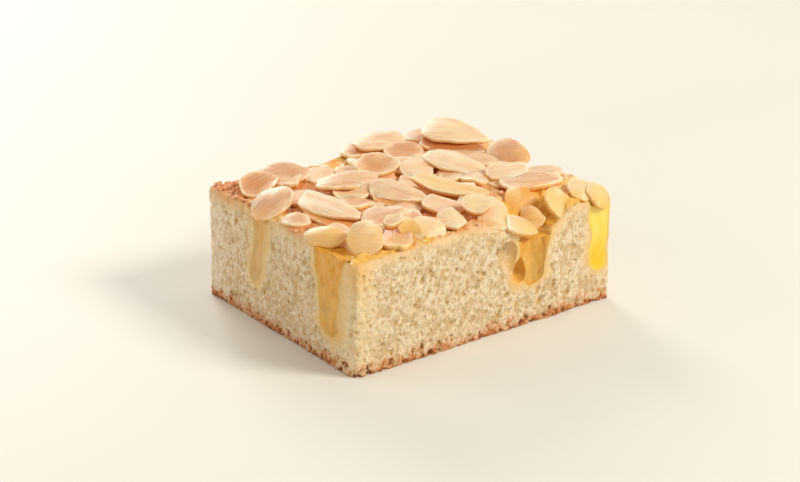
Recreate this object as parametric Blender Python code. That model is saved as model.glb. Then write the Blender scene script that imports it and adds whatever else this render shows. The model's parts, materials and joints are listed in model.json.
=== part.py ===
"""A cut piece of butter yeast cake: a slab of risen dough, baked in a tin, covered with flaked
almonds. Wells were pressed into the dough before baking and filled with butter, and the knife ran
through some of them, so that the butter shows at the cut sides.

The piece rests on its flat base. +X runs along its long side, +Z is up, and the origin is the
middle of its base. The near corner is at -X, -Y.
"""

import math
import random
from typing import NamedTuple

import bmesh
import bpy
import numpy as np
from mathutils import Matrix, Vector, noise

MM = 0.001

# The slab of dough
LENGTH = 93.5 * MM
WIDTH = 73.5 * MM
HEIGHT = 35.5 * MM  # of the crust above the base
FAR_DROP = 2 * MM  # the crust sinks by this much towards the far corner
CORNER_ROUND = 1.1 * MM
NEAR_ROUND = 2.4 * MM  # of the upright edge at the near corner
TOP_ROUND = 2.2 * MM  # of the rim of the crust
RIM_SPAN = 9 * MM  # unevenness of the rim
NOISE_SEED = 3
SWELL = 1.0 * MM  # unevenness of the crust
SWELL_SPAN = 26 * MM
CUT_WAVE = 0.45 * MM  # unevenness of the cut sides
CUT_WAVE_SPAN = 11 * MM
SLAB_CUTS = (27, 21, 8)  # rows of vertices along X, Y and Z

# The wells of butter
WELL_STEPS = 18  # sides round a well
FOOT_STEPS = 4
MOUTH_SPREAD = 1.3  # mouth radius over throat radius
MOUTH_DEPTH = 7 * MM
DIMPLE_SPAN = 1.7  # reach of the dimple around a well, over its throat radius
BUTTER_GAP = 0.3 * MM  # between the butter and the dough
WALL_WAVE = 1.2 * MM  # unevenness of a well's wall
WALL_SPAN = 5 * MM
# Wells that lean: how far they move along X and Y with each mm of height, and the height in mm
# below which they are upright
LEANS = {"butter_end": (0, -0.17, 12), "butter_front": (0.23, 0, 22), "butter_far": (0, 0.12, 10)}


class Well(NamedTuple):
    """A well pressed into the dough: a rounded foot, straight sides and a wider mouth."""

    at: tuple  # its middle
    foot: float  # radius above the rounded foot
    throat: float  # radius below the mouth
    bottom: float
    level: float  # of the butter
    dimple: float  # how deep the crust sinks around it


WELLS = {  # in mm
    "butter_near": ((-45.5, -24.4), 4.6, 6.2, 8.5, 34.4, 0.5),
    "butter_end": ((-46, 8.8), 2.5, 3.2, 12, 33, 1),
    "butter_front": ((20.2, -35.4), 4.8, 6.2, 12, 26, 8.5),
    "butter_corner": ((42.2, -35.6), 3.1, 3.2, 10, 30.5, 3.6),
    "butter_back": ((-7.5, 35.4), 4.8, 6.2, 10.5, 32.6, 2),
    "butter_far": ((45.4, -1), 4.2, 5.6, 11, 28, 3.6),
}
WELLS = {
    name: Well((at[0] * MM, at[1] * MM), *(value * MM for value in sizes))
    for name, (at, *sizes) in WELLS.items()
}
FUNNEL = "butter_front"  # the widest mouth, with no flakes strewn in it

# Air bubbles that the knife opened: their middles, their half sizes, and how much wider they are
# at the top than in the middle
CAVITY = (Vector((12.6, -37.0, 17.8)) * MM, Vector((3.2, 5.0, 4.0)) * MM, -0.25)
BUBBLES = (
    CAVITY,  # at the funnel's foot
    (Vector((7.9, -37.4, 23.0)) * MM, Vector((3.4, 3.2, 5.3)) * MM, 0.3),
    (Vector((47.2, -16.5, 20.0)) * MM, Vector((2.8, 3.4, 4.2)) * MM, 0.2),
    (Vector((-30.5, 37.2, 18.5)) * MM, Vector((3.6, 2.8, 4.6)) * MM, -0.1),
)
# Where the butter of the funnel has sunk back from the cut
SUNK_BACK = (Vector((17.2, -38.5, 22.0)) * MM, Vector((5.6, 3.6, 14.0)) * MM, 0)

# The flaked almonds
FLAKE_THICK = 1.0 * MM
FLAKE_LENGTH = (12 * MM, 17 * MM)
FLAKE_WIDTH = (8 * MM, 11 * MM)
FLAKE_POINTS = 11  # round the outline
FLAKE_POINTED = (0.1, 0.7)  # how much narrower one end is
FLAKE_CHAMFER = 0.93  # size of the upper face over the lower face
FLAKE_SINK = 0.5 * MM  # how far a loose flake is baked into what it lies on
FLAKE_HOLD = 0.9  # share of a flake's length and width that what lies under it can bear
OVERHANG = 1.5 * MM  # how far a flake may stick out over a cut side
STEEPEST = 0.35  # slope of a loose flake
LEANING = 0.4  # slope from which a flake counts as leaning
LEANING_ROOM = 9 * MM  # no flakes are strewn so near to a leaning one
ROWS = (8, 7)  # of scattered flakes, along X and Y
SCATTER = 0.38  # how far a flake strays from its place, over the spacing
BARE_CORNERS = (  # where the crust shows: their middles and radii
    ((-42 * MM, 30 * MM), 14 * MM),
    ((-46 * MM, -37 * MM), 12 * MM),
)
GAPS = (  # spots between the flakes, in mm
    (42, 33),
    (43, 21),
    (-28.2, -31.2),
    (-9.6, -20.9),
    (-39.5, -8),
    (-29.5, -8.5),
    (-41.4, -0.7),
    (-10, 29.2),
    (-16, 29.3),
)
GAP_ROOM = 4 * MM
SEED = 7
GRID = 1.0 * MM  # of the map of heights that the flakes settle on

# The flakes that catch the eye, from the bottom of the heap to its top: x, y, heading in degrees,
# length, width, slopes along X and Y, and how deep it is pressed in
SEEN_FLAKES = (
    (-18, 3, -19, 13, 8, 0.1, 0.25, 0.5),
    (-17, 8, -15, 20, 9, 0.1, 0.2, 0.5),
    (-26, 26.5, -29, 15, 8.5, 0.05, 0.25, 0.5),
    (-37, 24.5, -6, 12, 10, 0.15, 0.25, 0.5),
    (-42, 10, 0, 14, 11, 0.5, 0.15, 1),
    (-42.7, -3.2, -28, 8.5, 5.5, 0.2, 0.3, 0.3),
    (-33, -6.5, -68, 19, 9, 0.1, 0.2, 0.5),
    (-31.3, -4, -68, 20.5, 10, 0.1, 0.2, 0.3),
    (-1, 14.5, -22, 13.5, 9.5, 0.1, 0.3, 0.5),
    (11.5, 30.5, -20, 18, 9, 0.1, 0.25, 0.5),
    (13.5, 21, -17, 12, 8, 0.1, 0.3, 0.5),
    (8.5, 6.5, -40, 12, 10, 0.15, 0.3, 1),
    (-10.5, -9.5, -54, 17, 5.5, 0.1, 0.2, 0.9),
    (-9, -6.3, -56, 18, 8, 0.1, 0.2, 0.3),
    (5.5, -12.5, -50, 24, 6, 0.2, 0.34, 0.3),
    (30.5, 6.5, -54, 17, 8, 0.1, 0.2, 0.5),
    (18, 2, -60, 20, 9, 0.12, 0.25, 0.5),
    (38, 1, -59, 14, 11, 0.5, 0.4, 1),
    (28.5, 16.5, -50, 20, 9, 0.2, 0.25, 0.5),
    (31, 18.7, -50, 21, 11, 0.2, 0.25, 0.4),
    (30.5, -19, -23, 20, 9, 0.0, 0.1, 0.5),
    (27.5, -11.5, -23, 13, 8, 0.1, 0.2, 0.5),
    (-22, -17.5, -8, 14, 8, 0.1, 0.3, 0.5),
    (-2, -20, -37, 14, 9, 0.05, 0.25, 0.5),
    (7, -32.5, -30, 12, 11, -0.1, 0.8, 2),
    (2.3, -29, -50, 8.5, 7, 0.3, 0.3, 0.5),
    (-8.5, -32, -65, 10, 7, 0.1, 0.4, 0.5),
    (-21.5, -29, -10, 6, 9, 0.6, 1.0, 1.5),
    (-17, -31.5, -19, 10, 9, 0.2, 0.8, 1.5),
    (-25, -26.5, 0, 8, 3.5, 0.1, 0.3, 0.5),
    (-37, -17, -44, 7, 5, 0.3, 0.5, 0.5),
    (-43, -18, -56, 13, 7, 0.5, 0.3, 1),
    (-37, -29, -37, 10.5, 10.5, 0.75, 1.0, 1),
    (23, -23.5, -15, 9, 10, 0.5, 1.2, 3),
    (22, -30.5, -37, 7.4, 7.4, 0.75, 1.0, 1),
    (13, -36.5, 0, 13, 6, -0.54, 0.9, 1),
    (30, -32, 5, 9, 10, -0.2, 0.9, 3),
    (40, -31, -10, 9, 9, 0.0, 0.6, 0.5),
    (43.5, -35.5, -6, 8, 9, -0.2, 0.8, 2),
)

CRUMB_COLOUR = (0.86, 0.70, 0.42, 1)
BUTTER_COLOUR = (0.93, 0.62, 0.12, 1)
SHARP = math.radians(35)  # angle between faces from which an edge is sharp


def crust_height(x, y):
    """The height of the crust above the base at x, y."""
    swell = noise.noise(Vector((x, y, 0)) / SWELL_SPAN) * SWELL
    drop = FAR_DROP * (x / LENGTH + 0.5) * (y / WIDTH + 0.5)
    dimples = sum(
        well.dimple * math.exp(-(math.dist((x, y), well.at) / well.throat / DIMPLE_SPAN) ** 2)
        for well in WELLS.values()
    )
    return HEIGHT + swell - drop - dimples


def smooth_step(value, low, high):
    """0 below low, 1 above high, and a smooth rise between them."""
    share = min(1, max(0, (value - low) / (high - low)))
    return share * share * (3 - 2 * share)


def rounded(point):
    """A point of the plain slab, moved onto the slab with round upright and upper edges."""
    nearness = smooth_step(-point.x / LENGTH - point.y / WIDTH, 0.6, 0.95)
    radius = CORNER_ROUND + (NEAR_ROUND - CORNER_ROUND) * nearness
    half = Vector((LENGTH / 2, WIDTH / 2))
    core = Vector([max(radius - h, min(h - radius, value)) for value, h in zip(point, half)])
    out = point.xy - core
    if out.length > 1e-9:
        out *= max(abs(value) for value in out) / out.length
    x, y = core + out
    rim = TOP_ROUND * (1 + 0.8 * noise.noise(Vector((x, y, 9)) / RIM_SPAN))
    from_rim = max(0, rim - min(half.x - abs(point.x), half.y - abs(point.y)))
    drop = rim - math.sqrt(max(0, rim**2 - from_rim**2))
    return Vector((x, y, point.z * (1 - drop / HEIGHT)))


def well_axis(name, z):
    """The middle of a well at a height."""
    lean_x, lean_y, upright = LEANS.get(name, (0, 0, 0))
    return Vector(WELLS[name].at) - Vector((lean_x, lean_y)) * (HEIGHT - max(z, upright * MM))


def wall_wave(point):
    """How far a point of a well's wall strays sideways."""
    wave = noise.noise_vector(point / WALL_SPAN) * WALL_WAVE
    return Vector((wave.x, wave.y, 0))


def new_object(name, bm):
    """Turns a bmesh into an object of that name in the scene."""
    mesh = bpy.data.meshes.new(name)
    bm.to_mesh(mesh)
    bm.free()
    obj = bpy.data.objects.new(name, mesh)
    bpy.context.scene.collection.objects.link(obj)
    return obj


def make_slab(name):
    """The whole slab of dough, before the wells: a box cut into a grid, rounded and made uneven."""
    bm = bmesh.new()
    bmesh.ops.create_cube(bm, size=1)
    bmesh.ops.scale(bm, vec=(LENGTH, WIDTH, HEIGHT), verts=bm.verts)
    bmesh.ops.translate(bm, vec=(0, 0, HEIGHT / 2), verts=bm.verts)
    for axis, cuts in enumerate(SLAB_CUTS):
        along = [
            e for e in bm.edges if abs((e.verts[0].co - e.verts[1].co).normalized()[axis]) > 0.9
        ]
        bmesh.ops.subdivide_edges(bm, edges=along, cuts=cuts, use_grid_fill=True)
    base = [f for f in bm.faces if f.normal.z < -0.5]
    bmesh.ops.dissolve_faces(bm, faces=base)
    for vert in bm.verts:
        plain = vert.co.copy()
        point = rounded(plain)
        wave = noise.noise_vector(plain / CUT_WAVE_SPAN) * CUT_WAVE
        if abs(plain.x) > LENGTH / 2 - 1e-6:
            point.x += wave.x
        if abs(plain.y) > WIDTH / 2 - 1e-6:
            point.y += wave.y
        point.z *= crust_height(plain.x, plain.y) / HEIGHT
        vert.co = point
    return new_object(name, bm)


def make_plug(name, label, top, shrink=0):
    """A turned plug that fills a well up to a height, smaller than the well all round by shrink."""
    well = WELLS[name]
    foot, throat = well.foot - shrink, well.throat - shrink
    bottom = well.bottom + shrink
    turns = [math.pi / 2 * step / FOOT_STEPS for step in range(1, FOOT_STEPS)]
    line = [(foot * math.sin(turn), bottom + foot * (1 - math.cos(turn))) for turn in turns]
    line.append((foot, bottom + foot))
    throat_height = HEIGHT - MOUTH_DEPTH
    for step in (1, 2):
        above = bottom + foot + step / 3 * (throat_height - bottom - foot)
        line.append((foot + step / 3 * (throat - foot), above))
    for share in (0, 0.4, 0.8, 1.6):
        z = throat_height + MOUTH_DEPTH * share
        line.append((throat * (1 + (MOUTH_SPREAD - 1) * share**1.5), z))
    radius_at_top = np.interp(top, [z for _, z in line], [r for r, _ in line])
    line = [(r, z) for r, z in line if z < top - 0.1 * MM]
    line = [(0, bottom), *line, (radius_at_top, top), (0, top)]
    bm = bmesh.new()
    verts = [bm.verts.new((r, 0, z)) for r, z in line]
    edges = [bm.edges.new(pair) for pair in zip(verts, verts[1:])]
    bmesh.ops.spin(
        bm,
        geom=verts + edges,
        axis=(0, 0, 1),
        cent=(0, 0, 0),
        steps=WELL_STEPS,
        angle=math.tau,
        use_merge=True,
    )
    bmesh.ops.remove_doubles(bm, verts=bm.verts, dist=0.01 * MM)
    bmesh.ops.recalc_face_normals(bm, faces=bm.faces)
    for vert in bm.verts:
        vert.co.xy += well_axis(name, vert.co.z)
        vert.co += wall_wave(vert.co)
    return new_object(label, bm)


def make_bubble(name, middle, halves, taper):
    bm = bmesh.new()
    bmesh.ops.create_icosphere(bm, subdivisions=2, radius=1)
    for vert in bm.verts:
        vert.co.xy *= 1 + taper * vert.co.z
    bmesh.ops.scale(bm, vec=halves, verts=bm.verts)
    bmesh.ops.translate(bm, vec=middle, verts=bm.verts)
    return new_object(name, bm)


def join(obj, others, operation):
    """Joins others to obj, or cuts them from it, with one Boolean on a collection, and removes
    them."""
    group = bpy.data.collections.new("tools")
    for other in others:
        group.objects.link(other)
    boolean = obj.modifiers.new("boolean", "BOOLEAN")
    boolean.operation = operation
    boolean.operand_type = "COLLECTION"
    boolean.collection = group
    with bpy.context.temp_override(object=obj, active_object=obj):
        bpy.ops.object.modifier_apply(modifier=boolean.name)
    for other in others:
        bpy.data.objects.remove(other)
    bpy.data.collections.remove(group)


def keep_outer_shell(obj):
    """Fills the hollows that fusing has sealed, and drops loose scraps: only the largest shell
    stays."""
    bm = bmesh.new()
    bm.from_mesh(obj.data)
    shells = []
    left = set(bm.verts)
    while left:
        todo = [left.pop()]
        shell = set(todo)
        while todo:
            for edge in todo.pop().link_edges:
                for vert in edge.verts:
                    if vert in left:
                        left.remove(vert)
                        shell.add(vert)
                        todo.append(vert)
        shells.append(shell)
    shells.sort(key=len)
    loose = [vert for shell in shells[:-1] for vert in shell]
    bmesh.ops.delete(bm, geom=loose, context="VERTS")
    bm.to_mesh(obj.data)
    bm.free()


def flake_frame(heading, slopes):
    """The directions of a flake's length, its width and its upper face, as columns."""
    up = Vector((-slopes[0], -slopes[1], 1)).normalized()
    ahead = Vector((math.cos(heading), math.sin(heading), 0))
    ahead.z = slopes[0] * ahead.x + slopes[1] * ahead.y
    ahead.normalize()
    return Matrix((ahead, up.cross(ahead), up)).transposed()


class Heap:
    """The map of heights on which one flake after another comes to rest."""

    def __init__(self):
        self.x, self.y = np.meshgrid(
            np.arange(-LENGTH / 2, LENGTH / 2, GRID), np.arange(-WIDTH / 2, WIDTH / 2, GRID)
        )
        self.z = np.vectorize(crust_height)(self.x, self.y)
        self.butter = np.zeros_like(self.z)
        for well in WELLS.values():
            away = np.hypot(self.x - well.at[0], self.y - well.at[1])
            over = away < well.throat * MOUTH_SPREAD + GRID
            self.butter[over] = well.level + BUTTER_GAP

    def under(self, at, frame, size):
        """Which points of the map a flake covers, and how high it is there above its middle."""
        x, y = self.x - at[0], self.y - at[1]
        up = frame.col[2]
        lift = -(up.x * x + up.y * y) / up.z
        length, width = (
            frame.col[i].x * x + frame.col[i].y * y + frame.col[i].z * lift for i in (0, 1)
        )
        return (length / size[0]) ** 2 + (width / size[1]) ** 2 < FLAKE_HOLD**2 / 4, lift

    def slopes_under(self, at, heading, size):
        """The slopes of the plane nearest to what lies under a flake."""
        under, _ = self.under(at, flake_frame(heading, (0, 0)), size)
        columns = np.column_stack((self.x[under], self.y[under], np.ones(under.sum())))
        slopes = np.linalg.lstsq(columns, self.z[under], rcond=None)[0][:2]
        return np.clip(slopes, -STEEPEST, STEEPEST)

    def settle(self, at, frame, size, sunk):
        """Rests a flake on the heap, pressed in a little but clear of the butter, and returns the
        matrix that places it."""
        under, lift = self.under(at, frame, size)
        middle = max((self.z - lift)[under].max() - sunk, (self.butter - lift)[under].max())
        upper = middle + lift + FLAKE_THICK / frame.col[2].z
        self.z[under] = np.maximum(self.z[under], upper[under])
        return Matrix.Translation((at[0], at[1], middle)) @ frame.to_4x4()


def keep_in(value, half_side, half_flake):
    """A flake's middle along one axis, moved so that the flake overhangs the cut no further than
    it may."""
    limit = half_side + OVERHANG - half_flake
    return max(-limit, min(limit, value))


def make_flake(name, matrix, size, pointed):
    """An almond slice: a thin oval disc with one end more pointed than the other."""
    bm = bmesh.new()
    bmesh.ops.create_circle(bm, cap_ends=True, segments=FLAKE_POINTS, radius=0.5)
    for vert in bm.verts:
        vert.co.y *= 1 - pointed * vert.co.x
    bmesh.ops.scale(bm, vec=(size[0], size[1], 1), verts=bm.verts)
    raised = bmesh.ops.extrude_face_region(bm, geom=bm.faces[:])["geom"]
    top = [item for item in raised if isinstance(item, bmesh.types.BMVert)]
    bmesh.ops.translate(bm, vec=(0, 0, FLAKE_THICK), verts=top)
    bmesh.ops.scale(bm, vec=(FLAKE_CHAMFER, FLAKE_CHAMFER, 1), verts=top)
    bmesh.ops.recalc_face_normals(bm, faces=bm.faces)
    bmesh.ops.transform(bm, matrix=matrix, verts=bm.verts)
    return new_object(name, bm)


def is_bare(at):
    """Whether no flakes are strewn at a place: on a bare corner, in the funnel, in a gap, and where
    a flake leans."""
    places = [*BARE_CORNERS, (WELLS[FUNNEL].at, 2 * WELLS[FUNNEL].throat)]
    places += [((x * MM, y * MM), GAP_ROOM) for x, y in GAPS]
    for x, y, _, _, _, *slopes, _ in SEEN_FLAKES:
        if math.hypot(*slopes) > LEANING:
            places.append(((x * MM, y * MM), LEANING_ROOM))
    return any(math.dist(at, middle) < radius for middle, radius in places)


def strewn_flakes(chance):
    """The flakes that cover the crust: one in each cell of a loose grid, in a random order."""
    cells = [(i, j) for i in range(ROWS[0]) for j in range(ROWS[1])]
    chance.shuffle(cells)
    for cell in cells:
        at = [
            side * ((k + 0.5 + chance.uniform(-SCATTER, SCATTER)) / rows - 0.5)
            for k, rows, side in zip(cell, ROWS, (LENGTH, WIDTH))
        ]
        size = chance.uniform(*FLAKE_LENGTH), chance.uniform(*FLAKE_WIDTH)
        heading = chance.uniform(0, math.tau)
        if not is_bare(at):
            yield at, heading, size, None, FLAKE_SINK


def seen_flakes():
    for x, y, heading, length, width, *slopes, sunk in SEEN_FLAKES:
        size = length * MM, width * MM
        yield (x * MM, y * MM), math.radians(heading), size, slopes, sunk * MM


def make_flakes():
    chance = random.Random(SEED)
    heap = Heap()
    flakes = []
    for at, heading, size, slopes, sunk in [*strewn_flakes(chance), *seen_flakes()]:
        if slopes is None:
            slopes = heap.slopes_under(at, heading, size)
        frame = flake_frame(heading, slopes)
        half_x, half_y = (
            math.hypot(frame[axis][0] * size[0], frame[axis][1] * size[1]) / 2 for axis in (0, 1)
        )
        at = keep_in(at[0], LENGTH / 2, half_x), keep_in(at[1], WIDTH / 2, half_y)
        matrix = heap.settle(at, frame, size, sunk)
        flakes.append(
            make_flake(f"flake{len(flakes)}", matrix, size, chance.uniform(*FLAKE_POINTED))
        )
    return flakes


def finish(obj, name, colour, roughness):
    """Shades an object smooth but for its sharp edges, and gives it its own material."""
    obj.data.shade_smooth()
    obj.data.set_sharp_from_angle(angle=SHARP)
    material = bpy.data.materials.new(name)
    material.use_nodes = True
    shader = material.node_tree.nodes["Principled BSDF"]
    shader.inputs["Base Color"].default_value = colour
    shader.inputs["Roughness"].default_value = roughness
    shader.inputs["Metallic"].default_value = 0
    obj.data.materials.clear()
    obj.data.materials.append(material)


def make_butter(name):
    """The butter in one well: a plug a little smaller than the well, cut where the cake is cut."""
    butter = make_plug(name, name, WELLS[name].level, shrink=BUTTER_GAP)
    join(butter, [make_slab("whole_slab")], "INTERSECT")
    if name == FUNNEL:
        hollows = [make_bubble("sunk_back", *SUNK_BACK), make_bubble("cavity", *CAVITY)]
        join(butter, hollows, "DIFFERENCE")
    finish(butter, name, BUTTER_COLOUR, 0.3)
    return butter


def make_cake():
    """The dough with its crust and its almonds, with the wells and the bubbles cut out."""
    cake = make_slab("cake")
    cutters = [make_plug(name, f"{name}_cutter", HEIGHT + MOUTH_DEPTH) for name in WELLS]
    cutters += [make_bubble(f"bubble{i}", *bubble) for i, bubble in enumerate(BUBBLES)]
    join(cake, cutters, "DIFFERENCE")
    join(cake, make_flakes(), "UNION")
    keep_outer_shell(cake)
    finish(cake, "crumb", CRUMB_COLOUR, 0.8)
    return cake


def main():
    for obj in list(bpy.data.objects):
        bpy.data.objects.remove(obj)
    noise.seed_set(NOISE_SEED)
    make_cake()
    for name in WELLS:
        make_butter(name)


main()
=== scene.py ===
# %% [markdown]
# # A piece of butter yeast cake
# Yeast dough is spread in a tin, wells are pressed into it and filled with butter, and flaked
# almonds are strewn over the top. The knife then runs through some of the wells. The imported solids
# give the size and the place of everything, and this lesson dresses them: first the crumb of the
# dough, then the butter, and then the almonds.

# %% Load the frame
import json
import math
import random

import bmesh
import bpy
import numpy as np
from mathutils import Matrix, Vector, noise

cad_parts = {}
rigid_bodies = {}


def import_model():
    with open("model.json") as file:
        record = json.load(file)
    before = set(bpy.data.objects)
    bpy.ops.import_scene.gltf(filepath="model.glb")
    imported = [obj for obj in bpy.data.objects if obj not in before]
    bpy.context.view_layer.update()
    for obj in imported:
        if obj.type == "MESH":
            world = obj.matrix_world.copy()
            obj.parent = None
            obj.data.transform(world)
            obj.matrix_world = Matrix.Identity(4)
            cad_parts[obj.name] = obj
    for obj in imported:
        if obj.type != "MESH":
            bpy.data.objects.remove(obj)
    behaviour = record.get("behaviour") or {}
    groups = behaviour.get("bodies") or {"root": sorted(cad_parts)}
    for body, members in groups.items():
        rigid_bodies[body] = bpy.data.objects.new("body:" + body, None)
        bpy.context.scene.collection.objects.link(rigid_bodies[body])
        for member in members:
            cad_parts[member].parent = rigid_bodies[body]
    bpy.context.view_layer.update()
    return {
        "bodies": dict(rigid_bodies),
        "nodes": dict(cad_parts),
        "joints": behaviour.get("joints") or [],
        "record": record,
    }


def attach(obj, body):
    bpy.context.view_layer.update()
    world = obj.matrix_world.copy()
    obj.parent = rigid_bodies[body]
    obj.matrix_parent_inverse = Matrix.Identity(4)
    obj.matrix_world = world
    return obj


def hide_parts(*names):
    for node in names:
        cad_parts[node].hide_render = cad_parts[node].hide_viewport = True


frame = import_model()
MM = 0.001

# %% [markdown]
# ## The camera
# The camera stands where the photograph was taken from, a little above the cake and at its near
# corner. A long lens keeps the sides of the piece nearly parallel.

# %% Place the camera
CAMERA_AT = Vector((-458.5, -610.4, 347.5)) * MM
CAMERA_LOOK = Vector((0.5486, 0.736, -0.3966))
LENS = 126
SENSOR = 36


def place_camera():
    camera = bpy.data.objects.new("camera", bpy.data.cameras.new("camera"))
    bpy.context.scene.collection.objects.link(camera)
    camera.data.lens = LENS
    camera.data.sensor_width = SENSOR
    camera.data.clip_start = 0.01
    camera.location = CAMERA_AT
    camera.rotation_euler = CAMERA_LOOK.to_track_quat("-Z", "Y").to_euler()
    bpy.context.scene.camera = camera
    return camera


print("camera at", [round(value, 3) for value in place_camera().location])

# %% [markdown]
# ## The measures of the slab
# The pieces of this scene have to lie where the solids lie, so the same named sizes shape them:
# the slab, the height of its crust, and the wells. The crust swells a little, sinks towards the
# far corner, and dips at each well. A finger pressed the wells, so that some lean, and their walls
# are wavy.

# %% Name the measures
LENGTH = 93.5 * MM
WIDTH = 73.5 * MM
HEIGHT = 35.5 * MM
FAR_DROP = 2 * MM
CORNER_ROUND = 1.1 * MM
NEAR_ROUND = 2.4 * MM
TOP_ROUND, RIM_SPAN = 2.2 * MM, 9 * MM
SWELL, SWELL_SPAN = 1.0 * MM, 26 * MM
CUT_WAVE, CUT_WAVE_SPAN = 0.45 * MM, 11 * MM
# A well's mouth is this much wider than its throat, and this deep; the crust sinks around it, over
# this many times the throat's radius
MOUTH_SPREAD = 1.3
MOUTH_DEPTH = 7 * MM
DIMPLE_SPAN = 1.7

# Each well, in mm: its middle, the radii of its foot and its throat, its bottom, the level of the
# butter in it, and how deep the crust sinks around it
WELLS = {
    "butter_near": ((-45.5, -24.4), 4.6, 6.2, 8.5, 34.4, 0.5),
    "butter_end": ((-46, 8.8), 2.5, 3.2, 12, 33, 1),
    "butter_front": ((20.2, -35.4), 4.8, 6.2, 12, 26, 8.5),
    "butter_corner": ((42.2, -35.6), 3.1, 3.2, 10, 30.5, 3.6),
    "butter_back": ((-7.5, 35.4), 4.8, 6.2, 10.5, 32.6, 2),
    "butter_far": ((45.4, -1), 4.2, 5.6, 11, 28, 3.6),
}
WELLS = {
    name: (Vector(at) * MM, *(value * MM for value in sizes))
    for name, (at, *sizes) in WELLS.items()
}
FUNNEL = "butter_front"
# Wells that lean: how far they move along X and Y with each mm of height, and the height in mm
# below which they are upright
LEANS = {"butter_end": (0, -0.17, 12), "butter_front": (0.23, 0, 22), "butter_far": (0, 0.12, 10)}
WALL_WAVE, WALL_SPAN = 1.2 * MM, 5 * MM

# Bubbles that the knife opened: their middles, their half sizes, and how much wider they are at
# the top than in the middle
CAVITY = (Vector((12.6, -37.0, 17.8)) * MM, Vector((3.2, 5.0, 4.0)) * MM, -0.25)
BUBBLES = (
    CAVITY,
    (Vector((7.9, -37.4, 23.0)) * MM, Vector((3.4, 3.2, 5.3)) * MM, 0.3),
    (Vector((47.2, -16.5, 20.0)) * MM, Vector((2.8, 3.4, 4.2)) * MM, 0.2),
    (Vector((-30.5, 37.2, 18.5)) * MM, Vector((3.6, 2.8, 4.6)) * MM, -0.1),
)
# The hollow in front of the butter of the widest well, which has sunk far back from the cut
SUNK_BACK = (Vector((17.2, -38.5, 22.0)) * MM, Vector((5.6, 3.6, 14.0)) * MM, 0)

NOISE_SEED = 3
noise.seed_set(NOISE_SEED)


def crust_height(x, y):
    """The height of the crust above the base at x, y."""
    swell = noise.noise(Vector((x, y, 0)) / SWELL_SPAN) * SWELL
    drop = FAR_DROP * (x / LENGTH + 0.5) * (y / WIDTH + 0.5)
    dimples = sum(
        dimple * math.exp(-(math.dist((x, y), at) / throat / DIMPLE_SPAN) ** 2)
        for at, _, throat, _, _, dimple in WELLS.values()
    )
    return HEIGHT + swell - drop - dimples


def well_axis(name, z):
    """The middle of a well at a height."""
    lean_x, lean_y, upright = LEANS.get(name, (0, 0, 0))
    return WELLS[name][0] - Vector((lean_x, lean_y)) * (HEIGHT - max(z, upright * MM))


def wall_wave(point):
    """How far a point of a well's wall strays sideways."""
    wave = noise.noise_vector(point / WALL_SPAN) * WALL_WAVE
    return Vector((wave.x, wave.y, 0))


print("crust at the near corner:", round(crust_height(-LENGTH / 2, -WIDTH / 2) / MM, 1), "mm")

# %% [markdown]
# ## Helpers
# Three small helpers serve every piece. One turns a bmesh into an object of the scene, one applies
# a Boolean with several cutters at once, and one hands a finished piece over to the frame. A piece
# keeps its place in its mesh, and its object stays at the origin, so that patterns on Object
# coordinates stay where they are. Two more describe how something fades from one place to another.

# %% Define the helpers
def new_object(name, bm, *materials):
    mesh = bpy.data.meshes.new(name)
    bm.to_mesh(mesh)
    bm.free()
    for material in materials:
        mesh.materials.append(material)
    mesh.shade_smooth()
    obj = bpy.data.objects.new(name, mesh)
    bpy.context.scene.collection.objects.link(obj)
    return obj


def combine(obj, others, operation):
    """Cuts others from obj, or keeps what they share, and removes them."""
    group = bpy.data.collections.new("tools")
    for other in others:
        group.objects.link(other)
    boolean = obj.modifiers.new("boolean", "BOOLEAN")
    boolean.operation = operation
    boolean.operand_type = "COLLECTION"
    boolean.collection = group
    boolean.solver = "MANIFOLD"
    boolean.material_mode = "TRANSFER"
    with bpy.context.temp_override(object=obj, active_object=obj):
        bpy.ops.object.modifier_apply(modifier=boolean.name)
    for other in others:
        bpy.data.objects.remove(other)
    bpy.data.collections.remove(group)


def hand_over(piece, replaced=()):
    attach(piece, "root")
    if replaced:
        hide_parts(*replaced)
    triangles = sum(len(face.vertices) - 2 for face in piece.data.polygons)
    print(f"{piece.name}: {triangles} triangles")


def smooth_step(value, low, high):
    """0 below low, 1 above high, and a smooth rise between them."""
    share = min(1, max(0, (value - low) / (high - low)))
    return share * share * (3 - 2 * share)


def within(value, low, high):
    """1 up to low mm, 0 from high mm on, and a smooth fall between them."""
    return 1 - smooth_step(value, low * MM, high * MM)


# %% [markdown]
# ## Where the almonds lie
# Flaked almonds are strewn one after another, and each comes to rest on those below it. A map of
# heights plays this out: a flake is laid on the highest points under it, and the map then rises to
# the flake's upper face. First come the flakes that cover the crust, and then the ones that catch
# the eye.

# %% Name the measures of the flakes
FLAKE_THICK = 1.0 * MM
FLAKE_LENGTH = (12 * MM, 17 * MM)
FLAKE_WIDTH = (8 * MM, 11 * MM)
FLAKE_POINTED = (0.1, 0.7)
FLAKE_SINK = 0.5 * MM
FLAKE_HOLD = 0.9  # the share of a flake, around its middle, that lies on what is below
OVERHANG = 1.5 * MM
STEEPEST = 0.35
# A flake steeper than this stands alone, with this much room around it
LEANING, LEANING_ROOM = 0.4, 9 * MM
# The flakes are strewn one to a cell of this grid, off its middle by up to this share of it
ROWS = (8, 7)
SCATTER = 0.38
BARE_CORNERS = (((-42 * MM, 30 * MM), 14 * MM), ((-46 * MM, -37 * MM), 12 * MM))
# More bare places, in mm
GAPS = (
    (42, 33), (43, 21), (-28.2, -31.2), (-9.6, -20.9), (-39.5, -8), (-29.5, -8.5),
    (-41.4, -0.7), (-10, 29.2), (-16, 29.3),
)
GAP_ROOM = 4 * MM
SEED = 7
GRID = 1.0 * MM
BUTTER_GAP = 0.3 * MM

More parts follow.
